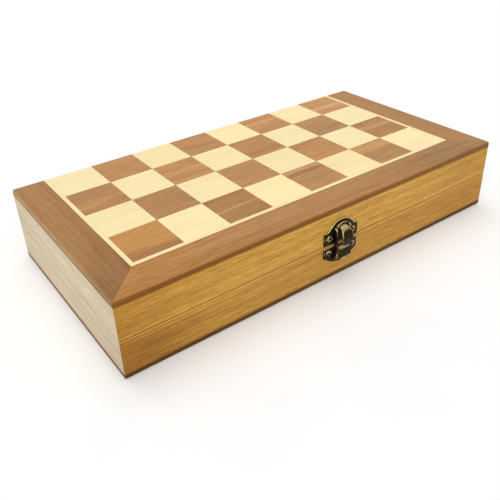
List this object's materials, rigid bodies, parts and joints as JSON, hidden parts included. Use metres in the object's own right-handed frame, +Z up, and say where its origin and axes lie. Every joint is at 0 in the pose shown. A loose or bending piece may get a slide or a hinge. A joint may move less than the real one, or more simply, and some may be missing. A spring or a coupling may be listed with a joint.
{
  "type": "folding chess box",
  "caption": "Closed folding wooden chess box with inlaid playing faces, a hooked swing latch, butt hinges and turned chessmen stored in slotted trays.",
  "frame": {"origin": "middle of the flat underside of the closed box", "axes": "+X along the box, +Z up, the latch is on the -Y side and the hinges on the +Y side"},
  "size_m": [0.3, 0.1599, 0.052],
  "materials": {
    "oak": "satin lacquer over golden wood with fine dark streaks",
    "ash": "satin lacquer over pale wood",
    "walnut": "satin lacquer over mid-brown veneer",
    "maple": "satin lacquer over pale veneer",
    "flocked_foam": "matt dark green flock",
    "boxwood": "polished pale turned wood",
    "sheesham": "polished dark turned wood",
    "aged_brass": "dark antique finish with edges worn bright",
    "brass": "plain polished brass"
  },
  "bodies": {
    "base": {"base_front_wall": "oak", "base_rear_wall": "oak", "base_left_wall": "ash", "base_right_wall": "ash", "base_border_front": "walnut", "base_border_left": "walnut", "base_border_right": "walnut", "base_board_panel": "maple", "base_insert": "flocked_foam", "dark_king": "sheesham", "dark_queen": "sheesham", "dark_rook_1": "sheesham", "dark_rook_2": "sheesham", "dark_knight_1": "sheesham", "dark_knight_2": "sheesham", "dark_bishop_1": "sheesham", "dark_bishop_2": "sheesham", "dark_pawn_1": "sheesham", "dark_pawn_2": "sheesham", "dark_pawn_3": "sheesham", "dark_pawn_4": "sheesham", "dark_pawn_5": "sheesham", "dark_pawn_6": "sheesham", "dark_pawn_7": "sheesham", "dark_pawn_8": "sheesham", "hinge_left_lower_leaf": "brass", "hinge_left_pin": "brass", "hinge_right_lower_leaf": "brass", "hinge_right_pin": "brass", "latch_lower_plate": "aged_brass", "latch_pin": "aged_brass"},
    "lid": {"lid_front_wall": "oak", "lid_rear_wall": "oak", "lid_left_wall": "ash", "lid_right_wall": "ash", "lid_border_front": "walnut", "lid_border_left": "walnut", "lid_border_right": "walnut", "lid_board_panel": "maple", "lid_insert": "flocked_foam", "light_king": "boxwood", "light_queen": "boxwood", "light_rook_1": "boxwood", "light_rook_2": "boxwood", "light_knight_1": "boxwood", "light_knight_2": "boxwood", "light_bishop_1": "boxwood", "light_bishop_2": "boxwood", "light_pawn_1": "boxwood", "light_pawn_2": "boxwood", "light_pawn_3": "boxwood", "light_pawn_4": "boxwood", "light_pawn_5": "boxwood", "light_pawn_6": "boxwood", "light_pawn_7": "boxwood", "light_pawn_8": "boxwood", "hinge_left_upper_leaf": "brass", "hinge_right_upper_leaf": "brass", "latch_upper_plate": "aged_brass"},
    "latch_bail": {"latch_bail": "aged_brass"}
  },
  "joints": [
    {"name": "lid_hinge", "type": "hinge", "parent": "base", "child": "lid", "pos_m": [0, 0.0752, 0.026], "axis": [-1, 0, 0], "range_deg": [0, 180]},
    {"name": "bail_swing", "type": "hinge", "parent": "base", "child": "latch_bail", "pos_m": [0.0025, -0.0775, 0.0152], "axis": [1, 0, 0], "range_deg": [0, 110]}
  ]
}
